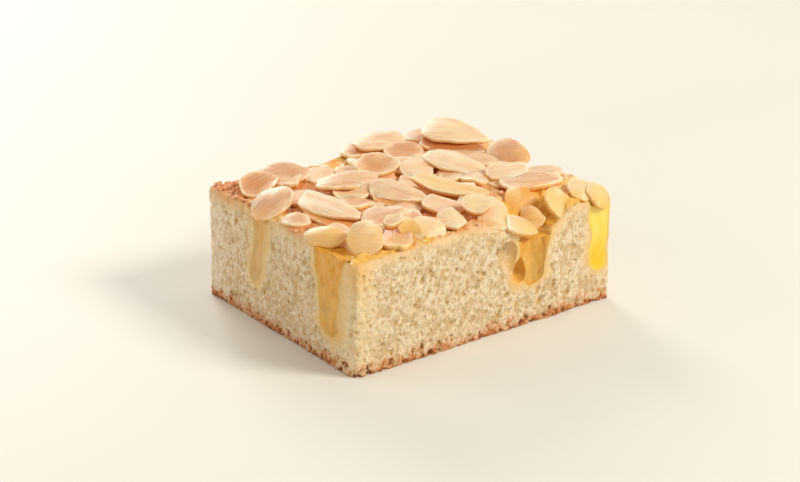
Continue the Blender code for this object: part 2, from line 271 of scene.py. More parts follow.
# The flakes that catch the eye: x, y, heading in degrees, length, width, slopes along X and Y, and
# how deep it is pressed in; then its tone from cream (0) over peach (1) and glazed (2) to a dark
# glaze (3), the last two partly painted shade, how much butter it has soaked up, how far its rim
# curls up in mm, and how far from its middle its pointed end is broken off, as a share of its length
SEEN_FLAKES = (
    (-18, 3, -19, 13, 8, 0.1, 0.25, 0.5, 0.5, 0.3, 0.6, 0.6),
    (-17, 8, -15, 20, 9, 0.1, 0.2, 0.5, 0.7, 0.1, -0.5, 0.6),
    (-26, 26.5, -29, 15, 8.5, 0.05, 0.25, 0.5, 1.0, 0.0, -0.6, 0.6),
    (-37, 24.5, -6, 12, 10, 0.15, 0.25, 0.5, 1.45, 0.0, 1.5, 0.6),
    (-42, 10, 0, 14, 11, 0.5, 0.15, 1, 0.75, 0.0, -0.3, 0.6),
    (-42.7, -3.2, -28, 8.5, 5.5, 0.2, 0.3, 0.3, 0.6, 0.0, -0.5, 0.6),
    (-33, -6.5, -68, 19, 9, 0.1, 0.2, 0.5, 2.0, 0.0, 0.0, 0.6),
    (-31.3, -4, -68, 20.5, 10, 0.1, 0.2, 0.3, 0.25, 0.0, -0.6, 0.6),
    (-1, 14.5, -22, 13.5, 9.5, 0.1, 0.3, 0.5, 0.9, 0.2, 1.4, 0.6),
    (11.5, 30.5, -20, 18, 9, 0.1, 0.25, 0.5, 0.35, 0.0, -0.4, 0.6),
    (13.5, 21, -17, 12, 8, 0.1, 0.3, 0.5, 1.3, 0.1, 0.3, 0.6),
    (8.5, 6.5, -40, 12, 10, 0.15, 0.3, 1, 0.2, 0.0, 0.3, 0.35),
    (-10.5, -9.5, -54, 17, 5.5, 0.1, 0.2, 0.9, 2.0, 0.0, 0.0, 0.6),
    (-9, -6.3, -56, 18, 8, 0.1, 0.2, 0.3, 0.5, 0.1, -0.6, 0.6),
    (5.5, -12.5, -50, 24, 6, 0.2, 0.34, 0.3, 0.0, 0.6, 0.5, 0.6),
    (30.5, 6.5, -54, 17, 8, 0.1, 0.2, 0.5, 0.5, 0.1, -0.3, 0.6),
    (18, 2, -60, 20, 9, 0.12, 0.25, 0.5, 0.1, 0.0, -0.7, 0.6),
    (38, 1, -59, 14, 11, 0.5, 0.4, 1, 1.25, 0.1, -0.9, 0.6),
    (28.5, 16.5, -50, 20, 9, 0.2, 0.25, 0.5, 2.8, 0.0, 0.0, 0.6),
    (31, 18.7, -50, 21, 11, 0.2, 0.25, 0.4, 0.35, 0.3, -0.8, 0.6),
    (30.5, -19, -23, 20, 9, 0.0, 0.1, 0.5, 0.7, 0.0, -0.4, 0.6),
    (27.5, -11.5, -23, 13, 8, 0.1, 0.2, 0.5, 0.15, 0.0, -0.5, 0.6),
    (-22, -17.5, -8, 14, 8, 0.1, 0.3, 0.5, 0.6, 0.0, -0.3, 0.6),
    (-2, -20, -37, 14, 9, 0.05, 0.25, 0.5, 0.4, 0.0, -0.5, 0.4),
    (7, -32.5, -30, 12, 11, -0.1, 0.8, 2, 0.5, 0.35, -0.7, 0.25),
    (2.3, -29, -50, 8.5, 7, 0.3, 0.3, 0.5, 0.1, 0.4, 0.4, 0.6),
    (-8.5, -32, -65, 10, 7, 0.1, 0.4, 0.5, 0.0, 0.15, -0.3, 0.3),
    (-21.5, -29, -10, 6, 9, 0.6, 1.0, 1.5, 0.0, 0.9, 0.6, 0.6),
    (-17, -31.5, -19, 10, 9, 0.2, 0.8, 1.5, 0.0, 0.2, -0.7, 0.6),
    (-25, -26.5, 0, 8, 3.5, 0.1, 0.3, 0.5, 0.5, 0.1, 0.2, 0.3),
    (-37, -17, -44, 7, 5, 0.3, 0.5, 0.5, 0.0, 0.0, -0.3, 0.35),
    (-43, -18, -56, 13, 7, 0.5, 0.3, 1, 0.0, 0.4, -0.7, 0.6),
    (-37, -29, -37, 10.5, 10.5, 0.75, 1.0, 1, 0.0, 0.3, 0.4, 0.6),
    (23, -23.5, -15, 9, 10, 0.5, 1.2, 3, 0.0, 0.75, 0.5, 0.6),
    (22, -30.5, -37, 7.4, 7.4, 0.75, 1.0, 1, 0.7, 0.25, -0.5, 0.6),
    (13, -36.5, 0, 13, 6, -0.54, 0.9, 1, 0.35, 0.2, -0.5, 0.6),
    (30, -32, 5, 9, 10, -0.2, 0.9, 3, 0.0, 0.4, 0.5, 0.6),
    (40, -31, -10, 9, 9, 0.0, 0.6, 0.5, 0.0, 0.45, -0.4, 0.6),
    (43.5, -35.5, -6, 8, 9, -0.2, 0.8, 2, 0.0, 0.65, -0.7, 0.6),
)
print(len(SEEN_FLAKES), "flakes catch the eye")

# %% Keep a map of heights
def flake_frame(heading, slopes):
    """The directions of a flake's length, its width and its upper face, as columns."""
    up = Vector((-slopes[0], -slopes[1], 1)).normalized()
    ahead = Vector((math.cos(heading), math.sin(heading), 0))
    ahead.z = slopes[0] * ahead.x + slopes[1] * ahead.y
    ahead.normalize()
    return Matrix((ahead, up.cross(ahead), up)).transposed()


class Heap:
    """The map of heights on which one flake after another comes to rest."""

    def __init__(self):
        self.x, self.y = np.meshgrid(
            np.arange(-LENGTH / 2, LENGTH / 2, GRID), np.arange(-WIDTH / 2, WIDTH / 2, GRID)
        )
        self.z = np.vectorize(crust_height)(self.x, self.y)
        self.butter = np.zeros_like(self.z)
        for at, _, throat, _, level, _ in WELLS.values():
            away = np.hypot(self.x - at[0], self.y - at[1])
            self.butter[away < throat * MOUTH_SPREAD + GRID] = level + BUTTER_GAP

    def under(self, at, frame, size):
        """Which points of the map a flake covers, and how high it is there above its middle."""
        x, y = self.x - at[0], self.y - at[1]
        up = frame.col[2]
        lift = -(up.x * x + up.y * y) / up.z
        length, width = (
            frame.col[i].x * x + frame.col[i].y * y + frame.col[i].z * lift for i in (0, 1)
        )
        return (length / size[0]) ** 2 + (width / size[1]) ** 2 < FLAKE_HOLD**2 / 4, lift

    def slopes_under(self, at, heading, size):
        """The slopes of the plane nearest to what lies under a flake."""
        under, _ = self.under(at, flake_frame(heading, (0, 0)), size)
        columns = np.column_stack((self.x[under], self.y[under], np.ones(under.sum())))
        slopes = np.linalg.lstsq(columns, self.z[under], rcond=None)[0][:2]
        return np.clip(slopes, -STEEPEST, STEEPEST)

    def settle(self, at, frame, size, sunk):
        under, lift = self.under(at, frame, size)
        middle = max((self.z - lift)[under].max() - sunk, (self.butter - lift)[under].max())
        upper = middle + lift + FLAKE_THICK / frame.col[2].z
        self.z[under] = np.maximum(self.z[under], upper[under])
        return Matrix.Translation((at[0], at[1], middle)) @ frame.to_4x4()

    def widen(self):
        """Makes a second map, whose points are raised to their highest neighbour and smoothed."""
        self.wide = self.z
        for spread in (np.max, np.mean):
            padded = np.pad(self.wide, 1, mode="edge")
            rows, columns = self.z.shape
            near = [padded[i : i + rows, j : j + columns] for i in range(3) for j in range(3)]
            self.wide = spread(near, axis=0)

    def look_up(self, heights, point):
        rows, columns = heights.shape
        i = min(rows - 1, max(0, round((point.y + WIDTH / 2) / GRID)))
        j = min(columns - 1, max(0, round((point.x + LENGTH / 2) / GRID)))
        return heights[i, j]

    def top(self, point):
        """The height of the heap at a point."""
        return self.look_up(self.z, point)

    def cover(self, point):
        """How far a point lies below the top of the heap around it."""
        return self.look_up(self.wide, point) - point.z


HEAP = Heap()
print("the map of heights has", HEAP.z.size, "points")

# %% Let the flakes settle
def keep_in(value, half_side, half_flake):
    limit = half_side + OVERHANG - half_flake
    return max(-limit, min(limit, value))


def is_bare(at):
    places = [*BARE_CORNERS, (WELLS[FUNNEL][0], 2 * WELLS[FUNNEL][2])]
    places += [((x * MM, y * MM), GAP_ROOM) for x, y in GAPS]
    for x, y, _, _, _, *slopes, _, _, _, _, _ in SEEN_FLAKES:
        if math.hypot(*slopes) > LEANING:
            places.append(((x * MM, y * MM), LEANING_ROOM))
    return any(math.dist(at, middle) < radius for middle, radius in places)


def strewn_flakes(chance):
    cells = [(i, j) for i in range(ROWS[0]) for j in range(ROWS[1])]
    chance.shuffle(cells)
    for cell in cells:
        at = [
            side * ((k + 0.5 + chance.uniform(-SCATTER, SCATTER)) / rows - 0.5)
            for k, rows, side in zip(cell, ROWS, (LENGTH, WIDTH))
        ]
        size = chance.uniform(*FLAKE_LENGTH), chance.uniform(*FLAKE_WIDTH)
        heading = chance.uniform(0, math.tau)
        if not is_bare(at):
            yield at, heading, size, None, FLAKE_SINK


def seen_flakes():
    for x, y, heading, length, width, *slopes, sunk, _, _, _, _ in SEEN_FLAKES:
        size = length * MM, width * MM
        yield (x * MM, y * MM), math.radians(heading), size, slopes, sunk * MM


def settled_flakes(heap):
    """Each flake's matrix, its size, how pointed it is, and its number among the seen ones."""
    chance = random.Random(SEED)
    strewn = list(strewn_flakes(chance))
    settled = []
    for number, flake in enumerate([*strewn, *seen_flakes()]):
        at, heading, size, slopes, sunk = flake
        if slopes is None:
            slopes = heap.slopes_under(at, heading, size)
        turn = flake_frame(heading, slopes)
        half_x, half_y = (
            math.hypot(turn[axis][0] * size[0], turn[axis][1] * size[1]) / 2 for axis in (0, 1)
        )
        at = keep_in(at[0], LENGTH / 2, half_x), keep_in(at[1], WIDTH / 2, half_y)
        matrix = heap.settle(at, turn, size, sunk)
        settled.append((matrix, size, chance.uniform(*FLAKE_POINTED), number - len(strewn)))
    return settled


FLAKES = settled_flakes(HEAP)
HEAP.widen()
print(len(FLAKES), "flakes settled")

# %% [markdown]
# ## Writing materials
# A procedural material is a network of nodes. Written out node by node it is long, so this small
# class gives each kind of node that the materials below need a short name. Every pattern reads
# Object coordinates, which are metres here, or a mark: an attribute that the piece's own vertices
# carry. A colour is built up like paint, in layers, each with a share that says where it covers.

# %% Define the material writer
GLOW = ("Subsurface Weight", "Subsurface Radius", "Subsurface Scale")
COAT = ("Coat Weight", "Coat Roughness")


class Recipe:
    """The node tree of one material around its Principled BSDF."""

    def __init__(self, name, glow=(), coat=()):
        self.material = bpy.data.materials.new(name)
        self.material.use_nodes = True
        self.tree = self.material.node_tree
        self.shader = self.tree.nodes["Principled BSDF"]
        self.place = self.node("TexCoord", output="Object")
        for socket, value in (*zip(GLOW, glow), *zip(COAT, coat)):
            self.shader.inputs[socket].default_value = value

    def node(self, kind, inputs=(), output=0, **settings):
        """Adds a node. Its inputs are in the order of its sockets, or under their names."""
        made = self.tree.nodes.new("ShaderNode" + kind)
        for setting, value in settings.items():
            setattr(made, setting, value)
        for key, value in inputs.items() if isinstance(inputs, dict) else enumerate(inputs):
            self.feed(made.inputs[key], value)
        return made.outputs[output]

    def feed(self, socket, value):
        if isinstance(value, bpy.types.NodeSocket):
            self.tree.links.new(value, socket)
        else:
            socket.default_value = value

    def vector(self, operation, *values, output=0):
        return self.node("VectorMath", values, output, operation=operation)

    def stretched(self, x, y, z, place=None):
        """The coordinates, multiplied along each axis."""
        return self.vector("MULTIPLY", place or self.place, (x, y, z))

    def along(self, direction):
        """How far a place lies in a direction."""
        return self.vector("DOT_PRODUCT", self.place, direction, output=1)

    def height(self):
        return self.node("SeparateXYZ", (self.place,), "Z")

    def leaning(self, lean, squash):
        """The coordinates, sheared so that upright patterns lean along X, and squashed."""
        x, y, z = (self.node("SeparateXYZ", (self.place,), axis) for axis in range(3))
        sheared = self.math("SUBTRACT", x, self.times(z, lean))
        return self.node("CombineXYZ", (sheared, y, self.times(z, squash)))

    def wobbled(self, place, span, amount):
        """Coordinates that a soft noise has moved about."""
        clouds = self.noise(span, 2, place=place, output="Color")
        return self.vector("MULTIPLY_ADD", clouds, (amount,) * 3, place)

    def noise(self, span, detail=3, roughness=0.5, place=None, output=0):
        """Cloudy noise whose blobs are about span wide, from 0 to 1."""
        inputs = {"Scale": 1 / span, "Detail": detail, "Roughness": roughness}
        return self.node("TexNoise", {"Vector": place or self.place, **inputs}, output)

    def cells(self, span, place, feature="F1", output="Distance"):
        """Scattered points, span apart: the distance to them, or to the borders between them."""
        inputs = {"Vector": place, "Scale": 1 / span}
        return self.node("TexVoronoi", inputs, output, feature=feature)

    def mark(self, name):
        """What the vertices carry under a name."""
        return self.node("Attribute", output="Fac", attribute_name=name)

    def ramp(self, value, low, high, out_low=0.0, out_high=1.0):
        """Maps low..high to out_low..out_high, smoothly and without going past them."""
        inputs = (value, low, high, out_low, out_high)
        return self.node("MapRange", inputs, interpolation_type="SMOOTHSTEP")

    def math(self, operation, total, *values):
        for value in values:
            total = self.node("Math", (total, value), operation=operation)
        return total

    def sum(self, *values):
        return self.math("ADD", *values)

    def times(self, *values):
        return self.math("MULTIPLY", *values)

    def layers(self, colour, *layers):
        """A colour with others laid over it, each where its share says."""
        for share, over in layers:
            inputs = {0: share, 6: paint(colour), 7: paint(over)}
            colour = self.node("Mix", inputs, output=2, data_type="RGBA")
        return colour

    def finish(self, colour, roughness, relief=None, depth=0.0):
        self.feed(self.shader.inputs["Base Color"], colour)
        self.feed(self.shader.inputs["Roughness"], roughness)
        if relief:
            bump = self.node("Bump", {"Height": relief, "Distance": depth})
            self.feed(self.shader.inputs["Normal"], bump)
        print("material", self.material.name, "has", len(self.tree.nodes), "nodes")
        return self.material


def paint(colour):
    """Gives a plain colour its fourth value, and leaves a socket as it is."""
    return colour if isinstance(colour, bpy.types.NodeSocket) else (*colour, 1)


# %% [markdown]
# ## The crumb's finish
# A cut yeast crumb is cream-coloured. Its pores are painted ochre the deeper they reach, which is
# painted shade, as less light comes back out of a deep pore. Butter soaks in from the crust and
# from the wells and makes the crumb smooth and golden. The bottom is baked to a thin brown crust
# with rusty specks above it, and the top is glazed golden brown, paler where it is buttered and
# darkened as painted shade where flakes lie over it. The near and the left corner are lightened
# with painted light, a glow. The vertices of the piece will carry how deep each pore is, and how
# soaked or browned each place is; the nodes add the specks that are finer than the mesh.

# %% Write the finish of the dough
CREAM = (0.86, 0.68, 0.43)
CREAM_DULL = (0.61, 0.40, 0.185)
CREAM_WHITE = (0.97, 0.86, 0.68)
NEAR_GLOW_GOLD = (1.0, 0.78, 0.46)
PORE_SHADE_OCHRE = (0.67, 0.41, 0.11)
SOAKED_GOLD = (0.90, 0.65, 0.31)
SOAKED_AMBER = (0.88, 0.52, 0.13)
CRUST_EDGE = (0.83, 0.40, 0.12)
BASE_BROWN = (0.26, 0.065, 0.015)
BASE_RUST = (0.62, 0.21, 0.045)
BASE_EDGE = (0.62, 0.33, 0.15)
CRUST_GOLD = (0.81, 0.32, 0.10)
CRUST_BROWN = (0.54, 0.16, 0.05)
CRUST_PINK = (0.92, 0.46, 0.25)
CRUST_BUTTERED = (0.95, 0.60, 0.20)
CRUST_CREAMY = (0.97, 0.74, 0.40)
CRUST_WET = (1.0, 0.57, 0.10)
CRUST_DEEP = (0.88, 0.42, 0.04)
# Orange-brown glaze of sugar and butter; the same colours serve as painted shade in the gaps and
# under the flakes
GLAZE_AND_SHADE = (0.80, 0.33, 0.07)
DEEP_GLAZE_AND_SHADE = (0.52, 0.15, 0.03)
SOAKED_WALL = ((0.82, 0.43, 0.05), (0.93, 0.63, 0.22))
BUTTER_GLOW = (0.35, (0.6, 0.45, 0.3), 1.5 * MM)
# Directions in which the near and the left corner lie at 1; towards them the crumb is lightened with
# painted light, a glow
TO_NEAR_GLOW = (-1 / LENGTH, -1 / WIDTH, 0)
TO_LEFT_GLOW = (-1 / LENGTH, 1 / WIDTH, 0)
PORE_LEAN = 0.22
PORE_TALL = 1.4
WEB_SPAN = 1.5 * MM


def crust_colour(recipe, height, grain):
    ramp, mark = recipe.ramp, recipe.mark
    patches = recipe.noise(7 * MM, 4, 0.6)
    buttered = recipe.layers(CRUST_BUTTERED, (ramp(patches, 0.42, 0.62), CRUST_CREAMY))
    sunken = ramp(height, 30.5 * MM, 33.5 * MM, 1.0, 0.0)
    return recipe.layers(
        CRUST_BROWN,
        (ramp(patches, 0.35, 0.6), CRUST_GOLD),
        (ramp(grain, 0.5, 0.64, 0.0, 0.8), CRUST_PINK),
        (mark("buttered"), buttered),
        # Where flakes lie over the crust it turns to the glaze colour: partly glaze, partly painted
        # shade
        (recipe.times(mark("covered"), 0.9), GLAZE_AND_SHADE),
        (mark("wet"), recipe.layers(CRUST_WET, (sunken, CRUST_DEEP))),
    )


def dough_material():
    recipe = Recipe("dough_crumb", (0.3, (1.0, 0.6, 0.3), 1.2 * MM))
    ramp, times, mark = recipe.ramp, recipe.times, recipe.mark
    leaning = recipe.leaning(PORE_LEAN, 0.62)
    specks = recipe.noise(0.9 * MM, 4, 0.7, leaning)
    blotches = recipe.noise(3.0 * MM, 2, 0.5, leaning)
    webbed = recipe.wobbled(leaning, 2 * MM, 1.2 * MM)
    walls = recipe.cells(WEB_SPAN, webbed, "DISTANCE_TO_EDGE")
    luck = recipe.cells(WEB_SPAN, webbed, output="Color")
    dry = recipe.math("SUBTRACT", 1.0, times(mark("soak"), 0.8))
    # Hollows finer than the mesh are painted as darker spots between the cell walls. With the depth
    # of the pores in the mesh they make the pore share, which paints the crumb ochre as painted
    # shade in the pores; it also lets the brown of the base climb higher in them.
    hollow = times(ramp(walls, 0.0, 0.4), ramp(luck, 0.3, 0.8), dry)
    pore = recipe.sum(times(mark("pore"), 0.9), times(hollow, 0.42))
    soaked = times(mark("soak"), ramp(recipe.noise(6 * MM), 0.3, 0.65, 0.5, 1.0))
    # The near and the left corner glow: painted light, golden at the near corner and white at the
    # left
    near, left = (
        ramp(recipe.along(direction), start, 0.99, 0.0, 0.5)
        for direction, start in ((TO_NEAR_GLOW, 0.88), (TO_LEFT_GLOW, 0.80))
    )
    height = recipe.height()
    clumps = ramp(recipe.noise(3.2 * MM, 3, 0.6), 0.35, 0.62, 1.4 * MM, -1.4 * MM)
    ragged = recipe.sum(height, ramp(specks, 0.3, 0.7, 2.2 * MM, -2.2 * MM), clumps)
    scorched = recipe.sum(ragged, ramp(pore, 0.1, 0.6, 1.2 * MM, -2.0 * MM))
    grain = recipe.noise(1.6 * MM, 5, 0.7)
    colour = recipe.layers(
        CREAM_DULL,
        (ramp(specks, 0.35, 0.6), CREAM),
        (ramp(walls, 0.0, 0.2, 0.45, 0.0), CREAM_WHITE),
        (ramp(specks, 0.56, 0.72, 0.0, 0.7), CREAM_WHITE),
        (ramp(blotches, 0.48, 0.66, 0.0, 0.6), CREAM_DULL),
        # painted shade: ochre where the pores are deep
        (ramp(pore, 0.1, 0.95, 0.0, 0.9), PORE_SHADE_OCHRE),
        (soaked, SOAKED_GOLD),
        (near, NEAR_GLOW_GOLD),
        (left, CREAM_WHITE),
        (times(mark("wet"), 0.85), SOAKED_AMBER),
        (times(mark("edge"), 0.8), CRUST_EDGE),
        (ramp(ragged, 0.2 * MM, 3.6 * MM, 0.95, 0.0), BASE_RUST),
        (ramp(scorched, -0.8 * MM, 1.4 * MM, 1.0, 0.0), BASE_BROWN),
        (ramp(height, 0.15 * MM, 0.5 * MM, 0.5, 0.0), BASE_EDGE),
        (mark("crust"), crust_colour(recipe, height, grain)),
    )
    roughness = ramp(mark("soak"), 0.0, 1.0, 0.85, 0.45)
    relief = recipe.sum(specks, times(hollow, -0.5), grain)
    return recipe.finish(colour, roughness, relief, 0.35 * MM)


def soaked_material():
    recipe = Recipe("soaked_wall", BUTTER_GLOW, (0.15, 0.25))
    streaks = recipe.noise(2.2 * MM, 4, 0.6, recipe.stretched(1, 1, 0.4))
    colour = recipe.layers(SOAKED_WALL[0], (recipe.ramp(streaks, 0.3, 0.7), SOAKED_WALL[1]))
    return recipe.finish(colour, 0.4, streaks, 0.4 * MM)


DOUGH = dough_material()
SOAKED = soaked_material()

# %% [markdown]
# ## The dough
# The slab starts as a box cut into a fine grid, which is then rounded, made wavy and lifted to the
# height of the crust. The wells are turned plugs, and a Boolean cuts them and the large bubbles
# from the slab. It comes before the pores, because the plugs have to cut a smooth surface cleanly.

# %% Make the slab
DOUGH_CUTS = (186, 146, 84)


def rounded(point):
    """A point of the plain slab, moved onto the slab with round upright and upper edges."""
    nearness = smooth_step(-point.x / LENGTH - point.y / WIDTH, 0.6, 0.95)
    radius = CORNER_ROUND + (NEAR_ROUND - CORNER_ROUND) * nearness
    half = Vector((LENGTH / 2, WIDTH / 2))
    core = Vector([max(radius - h, min(h - radius, value)) for value, h in zip(point, half)])
    out = point.xy - core
    if out.length > 1e-9:
        out *= max(abs(value) for value in out) / out.length
    x, y = core + out
    rim = TOP_ROUND * (1 + 0.8 * noise.noise(Vector((x, y, 9)) / RIM_SPAN))
    from_rim = max(0, rim - min(half.x - abs(point.x), half.y - abs(point.y)))
    drop = rim - math.sqrt(max(0, rim**2 - from_rim**2))
    return Vector((x, y, point.z * (1 - drop / HEIGHT)))


def make_slab(name, cuts, *materials):
    bm = bmesh.new()
    bmesh.ops.create_cube(bm, size=1)
    bmesh.ops.scale(bm, vec=(LENGTH, WIDTH, HEIGHT), verts=bm.verts)
    bmesh.ops.translate(bm, vec=(0, 0, HEIGHT / 2), verts=bm.verts)
    for axis, count in enumerate(cuts):
        along = [
            e for e in bm.edges if abs((e.verts[0].co - e.verts[1].co).normalized()[axis]) > 0.9
        ]
        bmesh.ops.subdivide_edges(bm, edges=along, cuts=count, use_grid_fill=True)
    bmesh.ops.dissolve_faces(bm, faces=[f for f in bm.faces if f.normal.z < -0.5])
    side_x = bm.verts.layers.float.new("side_x")
    side_y = bm.verts.layers.float.new("side_y")
    for vert in bm.verts:
        plain = vert.co.copy()
        point = rounded(plain)
        wave = noise.noise_vector(plain / CUT_WAVE_SPAN) * CUT_WAVE
        if abs(plain.x) > LENGTH / 2 - 1e-6:
            point.x += wave.x
            vert[side_x] = math.copysign(1, plain.x)
        if abs(plain.y) > WIDTH / 2 - 1e-6:
            point.y += wave.y
            vert[side_y] = math.copysign(1, plain.y)
        point.z *= crust_height(plain.x, plain.y) / HEIGHT
        vert.co = point
    return new_object(name, bm, *materials)


dough = make_slab("dough", DOUGH_CUTS, DOUGH, SOAKED)
print("slab:", len(dough.data.vertices), "vertices")

# %% Turn the wells and cut them
WELL_STEPS = 48
FOOT_STEPS = 6
SIDE_STEPS = 8
MOUTH_SHARES = (0, 0.2, 0.4, 0.6, 0.8, 1.2, 1.6)
# The upper face of the butter: its rings, and how far it creeps up the wall of its well
RINGS = (1, 0.9, 0.75, 0.6, 0.45, 0.3, 0.15, 0)
CREEP = 0.9 * MM
SURFACE_WAVE, SURFACE_SPAN = 0.9 * MM, 3 * MM


def plug_line(name, top, grow=0.0):
    """The outline of a well from its bottom to a height, as pairs of radius and height."""
    _, foot, throat, bottom, _, _ = WELLS[name]
    foot, throat, bottom = foot + grow, throat + grow, bottom - grow
    turns = [math.pi / 2 * step / FOOT_STEPS for step in range(1, FOOT_STEPS)]
    line = [(foot * math.sin(turn), bottom + foot * (1 - math.cos(turn))) for turn in turns]
    for step in range(SIDE_STEPS):
        share = step / SIDE_STEPS
        above = bottom + foot + share * (HEIGHT - MOUTH_DEPTH - bottom - foot)
        line.append((foot + share * (throat - foot), above))
    for share in MOUTH_SHARES:
        z = HEIGHT - MOUTH_DEPTH * (1 - share)
        line.append((throat * (1 + (MOUTH_SPREAD - 1) * share**1.5), z))
    radius_at_top = np.interp(top, [z for _, z in line], [r for r, _ in line])
    line = [(r, z) for r, z in line if z < top - 0.6 * MM]
    surface = [(radius_at_top * share, top + CREEP * (share**2 - 0.5)) for share in RINGS]
    return [(0, bottom), *line, *surface]


def make_plug(name, label, top, *materials, grow=0.0):
    bm = bmesh.new()
    verts = [bm.verts.new((r, 0, z)) for r, z in plug_line(name, top, grow)]
    edges = [bm.edges.new(pair) for pair in zip(verts, verts[1:])]
    bmesh.ops.spin(
        bm,
        geom=verts + edges,
        axis=(0, 0, 1),
        cent=(0, 0, 0),
        steps=WELL_STEPS,
        angle=math.tau,
        use_merge=True,
    )
    bmesh.ops.remove_doubles(bm, verts=bm.verts, dist=0.01 * MM)
    bmesh.ops.recalc_face_normals(bm, faces=bm.faces)
    for vert in bm.verts:
        share = smooth_step(vert.co.z, top - 1.5 * MM, top - 0.6 * MM)
        vert.co.xy += well_axis(name, vert.co.z)
        vert.co.z += noise.noise(vert.co / SURFACE_SPAN) * SURFACE_WAVE * share
        vert.co += wall_wave(vert.co)
    return new_object(label, bm, *materials)


def make_bubble(label, middle, halves, taper, *materials):
    bm = bmesh.new()
    bmesh.ops.create_icosphere(bm, subdivisions=4, radius=1)
    for vert in bm.verts:
        vert.co.xy *= 1 + taper * vert.co.z
    bmesh.ops.scale(bm, vec=halves, verts=bm.verts)
    bmesh.ops.translate(bm, vec=middle, verts=bm.verts)
    return new_object(label, bm, *materials)


def copy_of(obj, name):
    twin = bpy.data.objects.new(name, obj.data.copy())
    bpy.context.scene.collection.objects.link(twin)
    return twin


whole_slab = copy_of(dough, "whole_slab")
cutters = [make_plug(name, f"{name}_cutter", HEIGHT + MOUTH_DEPTH, SOAKED) for name in WELLS]
cutters += [
    make_bubble(f"bubble{i}", *bubble, SOAKED if bubble is CAVITY else DOUGH)
    for i, bubble in enumerate(BUBBLES)
]
combine(dough, cutters, "DIFFERENCE")
print("with its wells:", len(dough.data.vertices), "vertices")

# %% [markdown]
# ## Pores
# Every pore is a bubble that the knife has cut open. Voronoi cells give scattered points inside
# the dough; each point becomes the middle of a ball, and a vertex on a cut side that lies in a
# ball moves inwards to the ball's far wall. Balls that sit deep get a steep rim and shallow ones a
# soft one, as in real crumb. The balls come in three sizes, are taller than wide, and lean a
# little, because the dough rose. Near the crust and the wells, where butter has soaked in, the
# pores close.

# %% Find the pores
# For each size of pore: the span between its points in mm, the share of the points that have a
# pore, and its least and greatest radius over the span
PORES = ((7.0, 0.35, 0.13, 0.21), (3.2, 0.65, 0.14, 0.32), (1.7, 0.8, 0.16, 0.42))
PORE_RIM = 0.35
DEEPEST = 0.9 * MM


def pore_depth(point, inward):
    """How far the far wall of the pore lies behind a point of the cut side, or 0."""
    squeezed = Vector((point.x - PORE_LEAN * point.z, point.y, point.z / PORE_TALL))
    deepest = 0
    for index, (span, share, least, most) in enumerate(PORES):
        span *= MM
        shifted = squeezed / span + Vector((17.3 * index, 5.1, 9.7))
        distances, middles = noise.voronoi(shifted)
        luck = noise.cell(middles[0] * 37.7) * 0.5 + 0.5
        if luck > share:
            continue
        radius = least + (most - least) * luck / share
        if distances[0] < radius:
            off = (middles[0] - shifted).dot(inward)
            reach = off + math.sqrt(max(0, off * off + radius**2 - distances[0] ** 2))
            soft = smooth_step(1 - distances[0] / radius, 0, PORE_RIM)
            deepest = max(deepest, reach * span * soft)
    return min(deepest, DEEPEST)


widest = 2 * max(span * most for span, _, _, most in PORES)
print("the largest pore is", round(widest, 1), "mm wide")

# %% Find how far the butter has soaked
# How far from a well its butter soaks into the crust
WET_REACH = {name: 3.5 * MM for name in WELLS} | {"butter_front": 9 * MM, "butter_near": 6.5 * MM}
# Where the crust is soaked with butter beside the wells: x, y and radius in mm
WET_SPOTS = (
    (16.5, -25.5, 7), (27, -33, 6), (28, -25, 7), (43.5, -5, 5), (34, -34, 5), (-30, -34, 6.5),
    (-20, -35, 4), (-41, -36, 7),
)


def bubble_share(point, bubbles):
    """How far out a point lies in the nearest bubble, which has its wall at 1."""
    return min(
        Vector([a / b for a, b in zip(point - middle, halves)]).length
        for middle, halves, _ in bubbles
    )


def well_distance(point):
    """The distance from a point to the nearest well's or large bubble's wall, below its rim."""
    point = point - wall_wave(point)
    nearest = (bubble_share(point, [CAVITY]) - 1) * CAVITY[1].x
    for name, (_, foot, throat, bottom, _, _) in WELLS.items():
        middle = max(point.z, bottom + foot)
        radius = foot + (throat - foot) * smooth_step(point.z, bottom + foot, HEIGHT - MOUTH_DEPTH)
        axis = well_axis(name, middle)
        away = math.dist(point, (*axis, middle)) - radius
        if name == "butter_near" and point.y < axis.y:
            away *= 0.45  # its butter has soaked most of the way to the corner
        nearest = min(nearest, away)
    return nearest


def mouth_distance(point):
    """The distance from a point to the nearest well's mouth, seen from above."""
    return min(math.dist(point.xy, well[0]) - well[2] for well in WELLS.values())


def wetness(point):
    """How deep in the butter of a well a point lies, from 0 to 1."""
    wet = 0
    for name, (_, _, throat, _, level, _) in WELLS.items():
        reach = WET_REACH[name]
        off = math.dist(point.xy, well_axis(name, point.z)) - throat
        inside = 1 - smooth_step(off, -1 * MM, reach)
        above = smooth_step(point.z - level, 0.4 * reach, 1.4 * reach)
        wet = max(wet, inside * (1 - above))
    for x, y, radius in WET_SPOTS:
        away = math.dist(point.xy / MM, (x, y))
        wet = max(wet, 1 - smooth_step(away, 0.5 * radius, radius))
    return wet


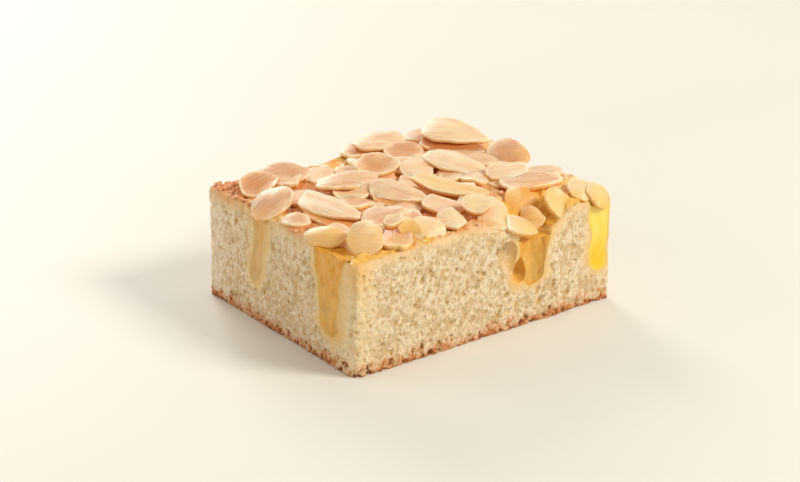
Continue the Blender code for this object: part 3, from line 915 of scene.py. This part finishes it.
def soaked_marks(point, depth, from_well, crust):
    """How soaked, browned at its edge, buttered and wet a point is, each from 0 to 1."""
    to_left = smooth_step(point.y - point.x, 50 * MM, 75 * MM)
    to_near = smooth_step(-point.x / LENGTH - point.y / WIDTH, 0.9, 0.98)
    to_right = smooth_step(point.x, 0, 35 * MM)
    to_front = within(point.y, -35, -22)
    soak = 0.75 * within(depth, 0.5, 7) + 0.9 * within(from_well, 0.2, 4)
    edge = within(depth, 0.3, 2 + 3.5 * to_left) * (0.45 + 0.55 * to_left)
    buttered = within(mouth_distance(point), 3, 13) + 0.8 * to_right + 0.7 * to_front
    at_wall = 0.8 * within(from_well, -0.3, 2.4)
    golden = 0.8 * to_near * within(depth, 2, 14)
    return min(1, soak), edge, min(1, buttered), max(wetness(point) * crust, at_wall, golden)


near_corner = Vector((-LENGTH / 2, -WIDTH / 2, HEIGHT))
print("wetness of the crust at the near corner:", round(wetness(near_corner), 2))

# %% Open the pores and write the marks
SPONGE, SPONGE_SPAN = 0.7 * MM, 1.5 * MM
CRUST_LUMPS, LUMP_SPAN = 0.9 * MM, 1.7 * MM
# The lower edge of the crust is ragged on the cut sides: the span and height of its waves in mm
RAGGED = ((2, 0.5), (6, 1.2))
# So is the edge of what the wells have soaked
SOAK_WAVE, SOAK_SPAN = 1.0 * MM, 4 * MM
# The walls of the smaller bubbles are painted darker, painted shade in the hollow, like a pore of
# this depth
BUBBLE_SHADE = 0.45  # a bubble's wall is as dark as a pore of this share of the greatest depth
MARKS = ("soak", "edge", "buttered", "wet", "pore", "crust", "covered")


def read_floats(mesh, name):
    values = np.zeros(len(mesh.vertices), np.float32)
    mesh.attributes[name].data.foreach_get("value", values)
    return values


def write_floats(mesh, name, values):
    attribute = mesh.attributes.new(name, "FLOAT", "POINT")
    attribute.data.foreach_set("value", np.array(values, np.float32))


def open_pores(piece):
    """Shapes the cut sides and the crust, and marks every vertex."""
    mesh = piece.data
    sides = zip(read_floats(mesh, "side_x"), read_floats(mesh, "side_y"))
    normals = [vert.normal.copy() for vert in mesh.vertices]
    marks = []
    for vert, normal, side in zip(mesh.vertices, normals, sides):
        point = vert.co.copy()
        outward = Vector((*side, 0))
        is_cut = outward.length > 0.5
        depth = crust_height(point.x, point.y) - point.z
        if is_cut:
            depth += sum(noise.noise(point / (span * MM)) * high for span, high in RAGGED) * MM
        from_well = well_distance(point + noise.noise_vector(point / SOAK_SPAN) * SOAK_WAVE)
        crust = within(depth, 0.2, 1.0)
        pore = covered = 0
        if is_cut:
            outward.normalize()
            sponge = noise.turbulence(point / SPONGE_SPAN, 3, False) * SPONGE
            is_open = smooth_step(depth, 0.3 * MM, 2.4 * MM)
            is_open *= smooth_step(from_well, 0.4 * MM, 3 * MM)
            pore = max(pore_depth(point, -outward), sponge) * (0.15 + 0.85 * is_open)
            vert.co = point - outward * pore
        elif normal.z > 0.3 and crust > 0.5:
            lumps = noise.turbulence(point / LUMP_SPAN, 3, False) - 0.5
            vert.co = point + normal * lumps * CRUST_LUMPS
            # How far the crust lies below the flakes, which the finish paints as shade
            covered = smooth_step(HEAP.cover(point), 0.5 * MM, 2.5 * MM)
        elif bubble_share(point, BUBBLES[1:]) < 1.3:
            # painted shade on the walls of the smaller bubbles
            pore = DEEPEST * BUBBLE_SHADE
        soaked = soaked_marks(point, depth, from_well, crust)
        marks.append((*soaked, pore / DEEPEST, crust, covered))
    for name, values in zip(MARKS, zip(*marks)):
        write_floats(mesh, name, values)
    mesh.update()
    deepest = max(read_floats(mesh, "pore")) * DEEPEST
    print("pores reach", round(deepest / MM, 2), "mm deep")


open_pores(dough)
hand_over(dough, ["cake"])

# %% [markdown]
# ## The butter
# Melted butter set in the wells. It is deep amber where it has browned, and clear yellow where it
# stayed liquid longest; in the thinnest well it has nearly soaked away. Each plug is cut to the
# slab. As it cooled, the butter sank back a little from the knife's cut, except at its rims, which
# cling to the wall.

# %% Write the finish of the butter
# Its colours at the foot, at the top and at the rim, and between which heights in mm it turns from
# the first to the second
BUTTERS = {
    "butter_amber": ((0.64, 0.36, 0.07), (0.76, 0.33, 0.01), (0.84, 0.48, 0.09), 14, 31),
    "butter_yellow": ((1.0, 0.56, 0.0), (1.0, 0.76, 0.16), (1.0, 0.68, 0.08), 15, 26),
    "butter_thin": ((0.66, 0.41, 0.14), (0.72, 0.40, 0.09), (0.76, 0.50, 0.20), 14, 31),
}
# The wells whose butter isn't amber
FINISHES = {"butter_corner": "butter_yellow", "butter_end": "butter_thin"}


def butter_material(name, foot, top, rim, low, high):
    recipe = Recipe(name, BUTTER_GLOW, (0.1, 0.25))
    cloud = recipe.noise(3 * MM, 4, 0.6, recipe.stretched(1, 1, 0.5))
    dark = recipe.noise(2.4 * MM, 3, 0.5, recipe.stretched(1.3, 1.3, 0.35))
    colour = recipe.layers(
        foot,
        (recipe.ramp(recipe.height(), low * MM, high * MM), top),
        (recipe.ramp(cloud, 0.42, 0.62, 0.0, 0.7), rim),
        (recipe.ramp(dark, 0.5, 0.66, 0.0, 0.5), top),
        (recipe.times(recipe.mark("rim"), recipe.ramp(cloud, 0.3, 0.6, 0.6, 1.0)), rim),
    )
    return recipe.finish(colour, 0.35, cloud, 0.3 * MM)


butter_finishes = {name: butter_material(name, *looks) for name, looks in BUTTERS.items()}

# %% Fill the wells
# How much higher the butter of a well stands than its level, so that it touches the flake over it
LIFTS = {"butter_end": 0.7 * MM, "butter_corner": 0.8 * MM}
# How far the butter has sunk back from the cut, at the least and at the most, and how wide the
# waves of its surface are
SUNK = (0.05 * MM, 0.9 * MM)
SUNK_SPAN, FINE_SPAN = 3.5 * MM, 1.2 * MM
SHARP_ANGLE = math.radians(40)


def sink_surface(butter, rims):
    """Moves the cut faces of the butter inwards, unevenly, but not their rims."""
    verts = butter.data.vertices
    normals = [vert.normal.copy() for vert in verts]
    for vert, normal, rim in zip(verts, normals, rims):
        for axis, side in enumerate((LENGTH / 2, WIDTH / 2)):
            if abs(vert.co[axis]) > side - 0.8 * MM and normal[axis] * vert.co[axis] > 0.6 * side:
                hilly = noise.noise(vert.co / SUNK_SPAN) * 0.7 + 0.5
                hilly += noise.noise(vert.co / FINE_SPAN) * 0.2
                sunk = SUNK[0] + (SUNK[1] - SUNK[0]) * min(1, max(0, hilly)) * (1 - rim)
                vert.co[axis] -= math.copysign(sunk, vert.co[axis])


def well_radius(name, z):
    line = plug_line(name, HEIGHT + MOUTH_DEPTH)[:-1]
    return float(np.interp(z, [z for _, z in line], [r for r, _ in line]))


def make_butter(name, material):
    level = WELLS[name][4] + LIFTS.get(name, 0)
    butter = make_plug(name, f"{name}_fill", level, material, grow=0.05 * MM)
    combine(butter, [copy_of(whole_slab, "slab_copy")], "INTERSECT")
    if name == FUNNEL:
        hollows = [
            make_bubble("sunk_back", *SUNK_BACK, material),
            make_bubble("cavity", *CAVITY, material),
        ]
        combine(butter, hollows, "DIFFERENCE")
    butter.data.materials.clear()
    butter.data.materials.append(material)
    butter.data.polygons.foreach_set("material_index", [0] * len(butter.data.polygons))
    rims = []
    for vert in butter.data.vertices:
        straight = vert.co - wall_wave(vert.co)
        away = math.dist(straight.xy, well_axis(name, vert.co.z))
        from_wall = well_radius(name, vert.co.z) - away
        rims.append(within(from_wall, 0.1, 1.3))
    write_floats(butter.data, "rim", rims)
    if name != "butter_corner":
        sink_surface(butter, rims)
    butter.data.shade_smooth()
    butter.data.set_sharp_from_angle(angle=SHARP_ANGLE)
    hand_over(butter, [name])


for name in WELLS:
    make_butter(name, butter_finishes[FINISHES.get(name, "butter_amber")])
bpy.data.objects.remove(whole_slab)

# %% [markdown]
# ## An almond flake
# A flake is a thin slice of an almond: an oval with one end more pointed or broken off, about a
# millimetre thick, with soft edges, and curled a little by the oven's heat. It starts as a circle.
# Insets give it rings that let it bend, one extrusion gives it a sole, coloured as glaze and
# painted shade, that holds it from below, another its thickness, and a bevel rounds its rims.

# %% Cut a flake
SEGMENTS = 36
RING_SHARES = (0.14, 0.2, 0.26)
RIM_ROUND = 0.2 * MM
OUTLINE_WOBBLE = 0.12
WARP = 1.3 * MM
TWIST = 0.25
BEND = 0.8 * MM
SLICE_THICK = 0.8 * MM
SOLE = 1.5 * MM
SOLE_TAPER = 0.78
FLAKE_MARKS = ("along", "across", "reach", "under", "tone", "butter", "luck", "covered", "wet")


def flake_outline(pointed, broken, luck):
    """Points around a flake whose length and width are 1."""
    points = []
    for step in range(SEGMENTS):
        turn = math.tau * step / SEGMENTS
        point = Vector((math.cos(turn), math.sin(turn), 0)) / 2
        point.y *= 1 - pointed * point.x
        point *= 1 + OUTLINE_WOBBLE * noise.noise(point * 4 + luck)
        point *= 1 + 0.4 * OUTLINE_WOBBLE * noise.noise(point * 12 + luck)
        point.x = min(point.x, broken + 0.06 * noise.noise(point * 9 + luck))
        points.append(point)
    return points


def raise_faces(bm, faces, height):
    """Extrudes faces upwards, and returns the raised ones."""
    raised = bmesh.ops.extrude_face_region(bm, geom=faces)["geom"]
    verts = [item for item in raised if isinstance(item, bmesh.types.BMVert)]
    bmesh.ops.translate(bm, vec=(0, 0, height), verts=verts)
    return [item for item in raised if isinstance(item, bmesh.types.BMFace)]


def flake_mesh(size, pointed, curl, broken, chance, marks):
    """One flake, flat on the XY plane with its underside at z = 0, then curled."""
    bm = bmesh.new()
    layers = [bm.verts.layers.float.new(name) for name in FLAKE_MARKS]
    luck = Vector([chance.uniform(0, 50) for _ in range(3)])
    outline = flake_outline(pointed, broken, luck)
    bmesh.ops.create_circle(bm, cap_ends=True, segments=SEGMENTS, radius=0.5)
    for vert, point in zip(bm.verts, outline):
        vert.co = Vector((point.x * size[0], point.y * size[1], -SOLE))
    for share in RING_SHARES:
        middle = max(bm.faces, key=lambda face: len(face.verts))
        bmesh.ops.inset_region(bm, faces=[middle], thickness=share * size[1] / 2)
    middle = max(bm.faces, key=lambda face: len(face.verts))
    bmesh.ops.poke(bm, faces=[middle])
    slice_below = FLAKE_THICK - SLICE_THICK
    top = raise_faces(bm, bm.faces[:], SOLE + slice_below)
    raise_faces(bm, top, SLICE_THICK)
    sole = [vert for vert in bm.verts if vert.co.z < 0]
    bmesh.ops.scale(bm, vec=(SOLE_TAPER, SOLE_TAPER, 1), verts=sole)
    bmesh.ops.recalc_face_normals(bm, faces=bm.faces)
    bm.normal_update()
    rims = [
        edge
        for edge in bm.edges
        if min(vert.co.z for vert in edge.verts) > FLAKE_THICK - 1e-6
        and any(abs(face.normal.z) < 0.5 for face in edge.link_faces)
    ]
    bmesh.ops.bevel(
        bm,
        geom=rims,
        offset=RIM_ROUND,
        segments=2,
        profile=0.5,
        affect="EDGES",
        material=-1,
    )
    around = sorted((math.atan2(point.y, point.x) % math.tau, point.length) for point in outline)
    turns, radii = zip(*around)
    twist, bend = chance.uniform(-TWIST, TWIST), chance.uniform(-BEND, BEND)
    warp = WARP
    if not curl:
        twist = bend = warp = 0
    for vert in bm.verts:
        along, across = vert.co.x / size[0], vert.co.y / size[1]
        rim = np.interp(math.atan2(across, along), turns, radii, period=math.tau)
        reach = min(1, math.hypot(along, across) / rim)
        under = (FLAKE_THICK - vert.co.z) / (FLAKE_THICK + SOLE)
        for layer, value in zip(layers, (along, across, reach, under, *marks, 0, 0)):
            vert[layer] = value
        wave = noise.noise(Vector((along, across, 0)) * 1.5 + luck) * warp
        vert.co.z += curl * (reach**2 - 0.5) + twist * along * vert.co.y * 2 + wave
        vert.co.z += bend * (4 * along**2 - 0.5)
    return bm


sample = flake_mesh((FLAKE_LENGTH[0], FLAKE_WIDTH[0]), 0.4, 0, 0.6, random.Random(SEED), (0, 0, 0))
print("a flake has", len(sample.faces), "faces")
sample.free()

# %% [markdown]
# Each flake is then laid where it settled. Those near a well have soaked up butter, and a steep
# one stands with its lower end in it. A glazed flake only shows as the brown gap under another
# one, partly glaze and partly painted shade, so it lies a little lower.

# %% Lay the flakes
GLAZED_TONE, GLAZED_DROP = 2, 0.7 * MM


def loose_looks(at, chance):
    """The tone, butter, curl and broken end of a flake that doesn't catch the eye."""
    butter = 0.05 + 0.7 * within(mouth_distance(at), 1, 9)
    return chance.uniform(0.4, 1), butter, chance.uniform(-0.8, 0.8), chance.uniform(0.2, 0.9)


def mark_flake(flake, matrix, butter):
    """Marks where other flakes cover a flake, which is painted in shade there, and where it is wet
    with butter.
    """
    covered, wet, reach = (flake.verts.layers.float[name] for name in ("covered", "wet", "reach"))
    flat = smooth_step(matrix.col[2].z, 0.75, 0.95)
    for vert in flake.verts:
        vert[covered] = smooth_step(HEAP.cover(vert.co), 1.0 * MM, 2.4 * MM) * flat
        dipped = smooth_step(matrix.translation.z - vert.co.z, -2.2 * MM, 0.8 * MM)
        dipped *= (1 - flat) * min(1, 3 * butter) * (1 - 0.6 * smooth_step(vert[reach], 0.75, 1))
        vert[wet] = max(wetness(vert.co) * min(1, 0.4 + butter), dipped)


def make_flakes(material):
    chance = random.Random(SEED + 1)
    heap = bmesh.new()
    for matrix, size, pointed, number in FLAKES:
        looks = SEEN_FLAKES[number][-4:] if number >= 0 else None
        tone, butter, curl, broken = looks or loose_looks(matrix.translation, chance)
        marks = (tone, butter, chance.uniform(0, 1))
        flake = flake_mesh(size, pointed, curl * MM, broken, chance, marks)
        bmesh.ops.transform(flake, matrix=matrix, verts=flake.verts)
        mark_flake(flake, matrix, butter)
        if tone >= GLAZED_TONE:
            bmesh.ops.translate(flake, vec=(0, 0, -GLAZED_DROP), verts=flake.verts)
        mesh = bpy.data.meshes.new("flake")
        flake.to_mesh(mesh)
        flake.free()
        heap.from_mesh(mesh)
        bpy.data.meshes.remove(mesh)
    return new_object("almond_flakes", heap, material)


# %% [markdown]
# ## The almonds' finish
# Blanched almond is pale pink-cream, with faint lines along its length, and a white painted
# highlight is streaked along it. Its rim is painted pale, a painted highlight, and the peach of a
# darker flake deepens towards its middle, partly tone and partly painted shade. Sugar and butter
# leave an orange-brown glaze where a flake touches what lies under it; the same colour darkens down
# a flake's side and where other flakes cover it, as painted shade. Flakes near a well are soaked
# yellow and let light through, and the end that a steep one has dipped in the butter is golden.

# %% Write the finish of the almonds
ALMOND_CREAM = (0.96, 0.71, 0.44)
ALMOND_HIGHLIGHT = (1.0, 0.85, 0.61)
ALMOND_PINK = (0.81, 0.46, 0.29)
ALMOND_LINE = (0.64, 0.33, 0.19)
ALMOND_PEACH = (0.66, 0.32, 0.15)
ALMOND_GOLD = (1.0, 0.73, 0.31)
ALMOND_AMBER = (0.97, 0.60, 0.15)
ALMOND_RIM_HIGHLIGHT = (1.0, 0.86, 0.60)
ALMOND_WALL = (0.96, 0.63, 0.26)
BUTTER_WET = (0.94, 0.54, 0.12)
BUTTER_DEEP = (0.84, 0.40, 0.045)


def almond_material():
    recipe = Recipe("almond", (0.45, (0.7, 0.45, 0.25), 1.0 * MM), (0.25, 0.35))
    ramp, times, mark = recipe.ramp, recipe.times, recipe.mark
    grain_scales = {"along": 1.6, "across": 16, "luck": 40}
    lines = recipe.node(
        "CombineXYZ", [times(mark(name), scale) for name, scale in grain_scales.items()]
    )
    grain = recipe.noise(1.0, 3, 0.6, lines)
    highlight_streaks = recipe.noise(1.0, 2, 0.5, recipe.stretched(0.9, 0.25, 1, lines))
    cloud = recipe.noise(3.5 * MM)
    reach, under, tone, butter = (mark(name) for name in ("reach", "under", "tone", "butter"))
    inside = ramp(recipe.sum(reach, times(cloud, 0.5)), 0.7, 1.35, 1.0, 0.0)
    pinkness = ramp(tone, 0.0, 1.0, 0.2, 0.8)
    rim_highlight_patches = ramp(recipe.noise(5 * MM, 2), 0.42, 0.58, 0.15, 0.85)
    dipped = recipe.layers(BUTTER_WET, (ramp(butter, 0.6, 0.75, 0.0, 0.8), BUTTER_DEEP))
    colour = recipe.layers(
        ALMOND_CREAM,
        (times(ramp(cloud, 0.6, 0.35), pinkness), ALMOND_PINK),
        (times(ramp(grain, 0.48, 0.66), pinkness), ALMOND_LINE),
        # Painted highlight: white streaks along the flake
        (ramp(highlight_streaks, 0.45, 0.68, 0.0, 0.65), ALMOND_HIGHLIGHT),
        # Peach by the flake's tone, deeper towards its middle: partly tone, partly painted shade
        (times(ramp(tone, 0.0, 1.2), recipe.sum(times(inside, 0.6), 0.2)), ALMOND_PEACH),
        (times(butter, ramp(cloud, 0.3, 0.7, 0.4, 1.0)), ALMOND_GOLD),
        (times(ramp(butter, 0.4, 0.9, 0.0, 0.7), inside), ALMOND_AMBER),
        # A glazed flake stands for a brown gap: partly glaze, partly painted shade
        (ramp(tone, 1.1, 2.0, 0.0, 0.9), GLAZE_AND_SHADE),
        (ramp(tone, 2.0, 3.0, 0.0, 0.9), DEEP_GLAZE_AND_SHADE),
        # Painted highlight: a pale rim, in patches
        (times(ramp(reach, 0.82, 0.97), rim_highlight_patches), ALMOND_RIM_HIGHLIGHT),
        # Down the side and the sole the colour darkens from golden to deep glaze: partly glaze,
        # partly painted shade under the flake
        (ramp(under, 0.04, 0.22), ALMOND_WALL),
        (ramp(under, 0.25, 0.6), GLAZE_AND_SHADE),
        (ramp(under, 0.6, 1.0), DEEP_GLAZE_AND_SHADE),
        # Painted shade where other flakes cover this one, in the glaze colour
        (times(mark("covered"), 0.85), GLAZE_AND_SHADE),
        (mark("wet"), dipped),
    )
    return recipe.finish(colour, 0.45, recipe.sum(times(grain, 1.5), cloud), 0.15 * MM)


hand_over(make_flakes(almond_material()))

# %% [markdown]
# ## Crumbs and sugar
# Grains of sugar and crumbs of dough stick to the crust where the almonds leave it bare, above all
# at the left corner and beside the open well; those at the front rim are soaked with butter. Each
# is a small ball that noise makes lumpy. They are scattered by a seeded draw and lie a little sunk
# in the crust; one that would fall under a flake or into a well is left out.

# %% Scatter crumbs and sugar
CRUMB_SIZES = (0.3 * MM, 0.9 * MM)
CRUMB_SUNK = 0.4 * MM
CRUMB_CLEAR, MOUTH_CLEAR = 0.6 * MM, 3 * MM
CRUMB_LUMPS, CRUMB_FLAT = 0.8, 0.7
CRUMB_BROWN = (0.81, 0.33, 0.12)
CRUMB_TAN = (0.93, 0.52, 0.28)
CRUMB_SOAKED = (0.97, 0.70, 0.36)
# Where they lie in mm: the middle of a patch, its spread along X and Y, how many are drawn, and
# whether they are soaked with butter (1)
CRUMB_PATCHES = (
    (-42, 30, 4, 6, 26, 0),
    (-45, 20, 1, 10, 16, 0),
    (-28, -34, 7, 1, 10, 1),
    (8, -29, 4, 4, 16, 0),
    (0, 0, 20, 16, 60, 0),
)


def make_crumbs(material):
    chance = random.Random(SEED + 2)
    crumbs = bmesh.new()
    luck_layer = crumbs.verts.layers.float.new("luck")
    for x, y, spread_x, spread_y, count, soaked in CRUMB_PATCHES:
        for _ in range(count):
            at = Vector((chance.gauss(x, spread_x), chance.gauss(y, spread_y), 0)) * MM
            at.x = max(-LENGTH / 2 + MM, min(LENGTH / 2 - MM, at.x))
            at.y = max(-WIDTH / 2 + MM, min(WIDTH / 2 - MM, at.y))
            size = chance.uniform(*CRUMB_SIZES)
            luck = chance.uniform(0, 1) + soaked
            at.z = crust_height(at.x, at.y) - CRUMB_SUNK
            if HEAP.top(at) > at.z + CRUMB_CLEAR or mouth_distance(at) < MOUTH_CLEAR:
                continue
            ball = bmesh.ops.create_icosphere(crumbs, subdivisions=2, radius=size)["verts"]
            for vert in ball:
                vert[luck_layer] = luck
                lumpy = noise.noise_vector(vert.co / size * 0.8 + at / MM) * CRUMB_LUMPS * size
                vert.co = Vector((vert.co.x, vert.co.y, CRUMB_FLAT * vert.co.z)) + lumpy + at
    return new_object("crumbs", crumbs, material)


def crumb_material():
    recipe = Recipe("crumb_bits", (0.5, (1.0, 0.6, 0.3), 0.6 * MM))
    luck = recipe.mark("luck")
    speck = recipe.noise(0.5 * MM)
    colour = recipe.layers(
        CRUMB_BROWN,
        (recipe.ramp(luck, 0.1, 0.9), CRUMB_TAN),
        (recipe.ramp(speck, 0.5, 0.7, 0.0, 0.5), CRUST_PINK),
        (recipe.ramp(luck, 1.0, 1.1), CRUMB_SOAKED),
    )
    return recipe.finish(colour, 0.7, speck, 0.15 * MM)


hand_over(make_crumbs(crumb_material()))

# %% [markdown]
# ## Floor and light
# The floor is plain and pale. The light is that of a bright studio: a wide soft key light at the
# right, which leaves the left side in shade, one from behind that makes the far edge glow, a faint
# one close to the left side, and a pale world that fills the shadows.

# %% Lay the floor and set the lights
FLOOR_SIZE, FLOOR_AT = 3, -0.05 * MM
FLOOR_TINTS = ((0.80, 0.79, 0.70), (0.82, 0.81, 0.73))
LIGHT_WIDTH = 0.4
# Each light: where it stands in metres, its width, its power and its colour
LIGHTS = {
    "key": ((0.48, -0.68, 0.74), LIGHT_WIDTH, 7.9, (1.0, 0.96, 0.90)),
    "back": ((0.2, 0.83, 0.38), LIGHT_WIDTH, 3.6, (1.0, 0.95, 0.88)),
    "fill": ((-0.35, 0.3, 0.2), 0.3, 0.45, (1.0, 0.96, 0.92)),
}
WORLD = {"Color": (1.0, 0.945, 0.90, 1), "Strength": 0.52}


def lay_floor():
    bm = bmesh.new()
    bmesh.ops.create_grid(bm, x_segments=1, y_segments=1, size=FLOOR_SIZE)
    bmesh.ops.translate(bm, vec=(0, 0, FLOOR_AT), verts=bm.verts)
    recipe = Recipe("floor")
    tint = recipe.ramp(recipe.noise(0.2, 2), 0.3, 0.7)
    colour = recipe.layers(FLOOR_TINTS[0], (tint, FLOOR_TINTS[1]))
    new_object("floor", bm, recipe.finish(colour, 0.6))


def add_light(name, at, size, power, colour):
    light = bpy.data.lights.new(name, "AREA")
    light.shape = "DISK"
    light.size = size
    light.energy = power
    light.color = colour
    obj = bpy.data.objects.new(name, light)
    obj.location = at
    obj.rotation_euler = (-Vector(at)).to_track_quat("-Z", "Y").to_euler()
    bpy.context.scene.collection.objects.link(obj)


lay_floor()
for name, settings in LIGHTS.items():
    add_light(name, *settings)
world = bpy.data.worlds.new("studio")
world.use_nodes = True
for socket, value in WORLD.items():
    world.node_tree.nodes["Background"].inputs[socket].default_value = value
bpy.context.scene.world = world
bpy.context.scene.view_settings.view_transform = "Standard"
print(len(LIGHTS), "lights")
